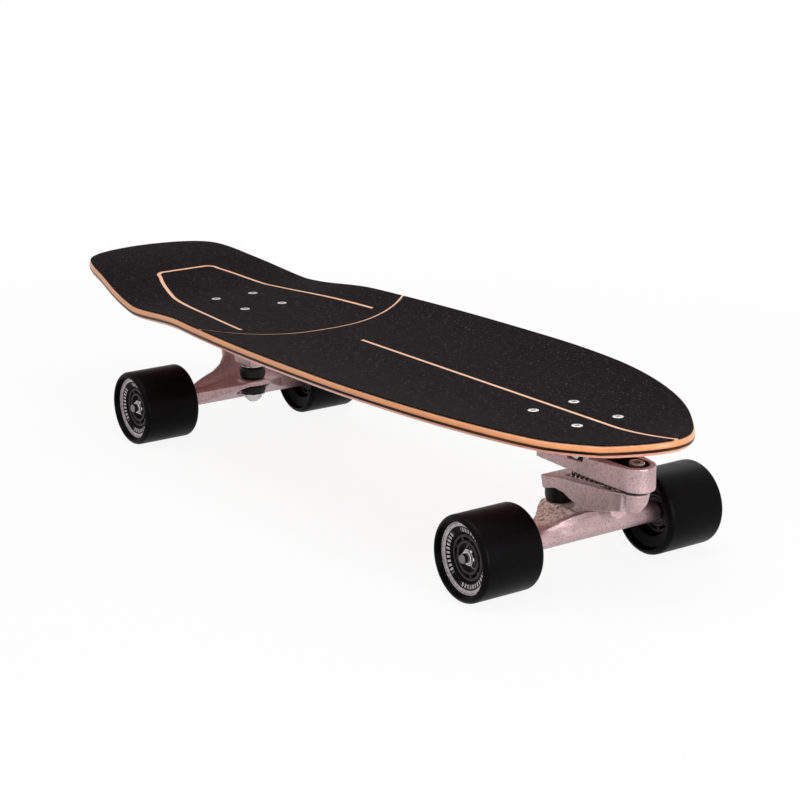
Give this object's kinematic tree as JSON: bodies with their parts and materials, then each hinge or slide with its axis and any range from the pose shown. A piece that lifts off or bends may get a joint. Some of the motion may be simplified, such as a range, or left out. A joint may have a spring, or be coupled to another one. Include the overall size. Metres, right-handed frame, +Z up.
{
  "type": "surf skateboard",
  "caption": "Surf skateboard with a wide kicktail deck, a front truck whose arm swings sideways on a sprung pivot, a plain rear truck and wide soft wheels",
  "frame": {"origin": "on the ground, below the middle of the deck", "axes": "+X toward the nose, +Y toward the left wheels, +Z up"},
  "size_m": [0.83, 0.2428, 0.1477],
  "materials": {
    "maple": "satin lacquered ply, honey outer plies and one dark ply in the edge",
    "grip": "fine black abrasive grip tape",
    "cast": "raw satin cast aluminium with a fine grain",
    "steel": "bright zinc plated steel",
    "urethane": "smooth semi-gloss black urethane",
    "nylon": "black moulded nylon",
    "rubber": "smooth black bushing urethane"
  },
  "bodies": {
    "deck": {"deck": "maple", "grip_tail": "grip", "grip_tongue": "grip", "grip_nose": "grip", "deck_bolt_front_1": "steel", "lock_nut_front_1": "steel", "deck_bolt_front_2": "steel", "lock_nut_front_2": "steel", "deck_bolt_front_3": "steel", "lock_nut_front_3": "steel", "deck_bolt_front_4": "steel", "lock_nut_front_4": "steel", "deck_bolt_rear_1": "steel", "lock_nut_rear_1": "steel", "deck_bolt_rear_2": "steel", "lock_nut_rear_2": "steel", "deck_bolt_rear_3": "steel", "lock_nut_rear_3": "steel", "deck_bolt_rear_4": "steel", "lock_nut_rear_4": "steel", "front_base": "cast", "thrust_bearing": "steel", "rear_base": "cast", "rear_kingpin": "steel", "rear_kingpin_nut": "steel", "rear_board_washer": "steel", "rear_road_washer": "steel", "rear_board_bushing": "rubber", "rear_road_bushing": "rubber", "rear_pivot_cup": "rubber"},
    "swing_arm": {"swing_arm": "cast", "pivot_bolt": "steel", "return_spring": "steel", "spring_plunger": "steel", "front_kingpin": "steel", "front_kingpin_nut": "steel", "front_road_washer": "steel", "front_board_bushing": "rubber", "front_road_bushing": "rubber", "front_pivot_cup": "rubber"},
    "front_hanger": {"front_hanger": "cast", "front_axle": "steel", "axle_nut_front_left": "steel", "axle_nut_front_right": "steel"},
    "rear_hanger": {"rear_hanger": "cast", "rear_axle": "steel", "axle_nut_rear_left": "steel", "axle_nut_rear_right": "steel"},
    "wheel_front_left": {"tyre_front_left": "urethane", "core_front_left": "nylon", "bearings_front_left": "steel"},
    "wheel_front_right": {"tyre_front_right": "urethane", "core_front_right": "nylon", "bearings_front_right": "steel"},
    "wheel_rear_left": {"tyre_rear_left": "urethane", "core_rear_left": "nylon", "bearings_rear_left": "steel"},
    "wheel_rear_right": {"tyre_rear_right": "urethane", "core_rear_right": "nylon", "bearings_rear_right": "steel"}
  },
  "joints": [
    {"name": "swing", "type": "hinge", "parent": "deck", "child": "swing_arm", "pos_m": [0.3685, 0, 0.0867], "axis": [0.0958, 0, 0.9954], "range_deg": [-25, 25], "stiffness_Nm_per_rad": 18, "deforming": ["return_spring"]},
    {"name": "front_steer", "type": "hinge", "parent": "swing_arm", "child": "front_hanger", "pos_m": [0.2792, 0, 0.04935], "axis": [0.9785, 0, 0.2063], "range_deg": [-12, 12], "stiffness_Nm_per_rad": 60, "deforming": ["front_board_bushing", "front_road_bushing"]},
    {"name": "rear_steer", "type": "hinge", "parent": "deck", "child": "rear_hanger", "pos_m": [-0.1932, 0, 0.04935], "axis": [-0.8714, 0, 0.4905], "range_deg": [-12, 12], "stiffness_Nm_per_rad": 60, "deforming": ["rear_board_bushing", "rear_road_bushing"]},
    {"name": "front_left_wheel_spin", "type": "hinge", "parent": "front_hanger", "child": "wheel_front_left", "pos_m": [0.3062, 0.09265, 0.035], "axis": [0, 1, 0], "continuous": true},
    {"name": "front_right_wheel_spin", "type": "hinge", "parent": "front_hanger", "child": "wheel_front_right", "pos_m": [0.3062, -0.09265, 0.035], "axis": [0, 1, 0], "continuous": true},
    {"name": "rear_left_wheel_spin", "type": "hinge", "parent": "rear_hanger", "child": "wheel_rear_left", "pos_m": [-0.2202, 0.09265, 0.035], "axis": [0, 1, 0], "continuous": true},
    {"name": "rear_right_wheel_spin", "type": "hinge", "parent": "rear_hanger", "child": "wheel_rear_right", "pos_m": [-0.2202, -0.09265, 0.035], "axis": [0, 1, 0], "continuous": true}
  ]
}
